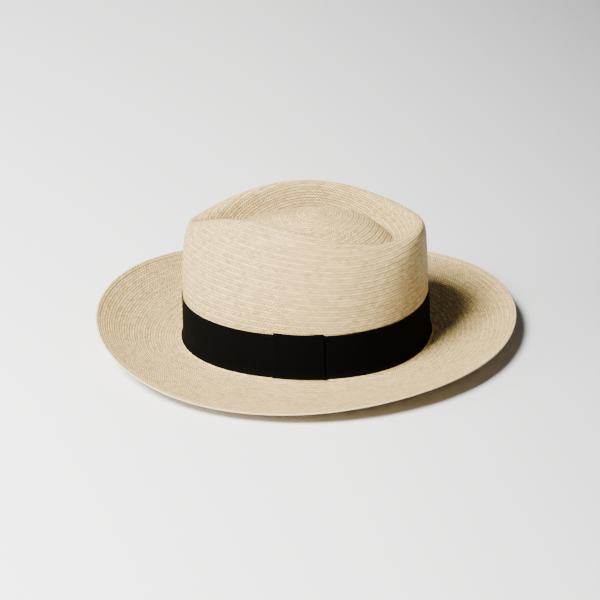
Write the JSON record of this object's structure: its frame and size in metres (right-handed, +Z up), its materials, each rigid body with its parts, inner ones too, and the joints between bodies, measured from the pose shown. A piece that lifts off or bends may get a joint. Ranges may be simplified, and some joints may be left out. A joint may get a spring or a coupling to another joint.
{
  "type": "panama hat",
  "caption": "Cream woven straw panama hat with a teardrop crown, curled brim, black ribbon band and flat knot, leather sweatband inside.",
  "frame": {"origin": "centre of the outline at the table, on the plane the hat stands on", "axes": "+Z up, front of the hat towards -Y, wearer's left side with the ribbon knot towards +X"},
  "size_m": [0.3262, 0.3455, 0.1163],
  "materials": {
    "straw": "matt woven straw",
    "hem_thread": "matt cotton",
    "black_ribbon": "matt ribbed",
    "black_thread": "matt cotton",
    "leather": "satin",
    "reed": "satin",
    "tape": "matt woven",
    "tan_thread": "matt cotton",
    "brown_ribbon": "satin",
    "label": "matt"
  },
  "bodies": {
    "root": {"straw_body": "straw", "brim_hem_thread": "hem_thread", "ribbon_band": "black_ribbon", "ribbon_tacks": "black_thread", "ribbon_knot": "black_ribbon", "ribbon_knot_tacks": "black_thread", "sweatband_leather": "leather", "sweatband_reed": "reed", "sweatband_tape": "tape", "sweatband_tape_thread": "tan_thread", "sweatband_fixing_thread": "tan_thread", "sweatband_seam_stitches": "tan_thread", "back_bow_loops": "brown_ribbon", "back_bow_tie": "brown_ribbon", "size_label": "label"}
  },
  "joints": []
}
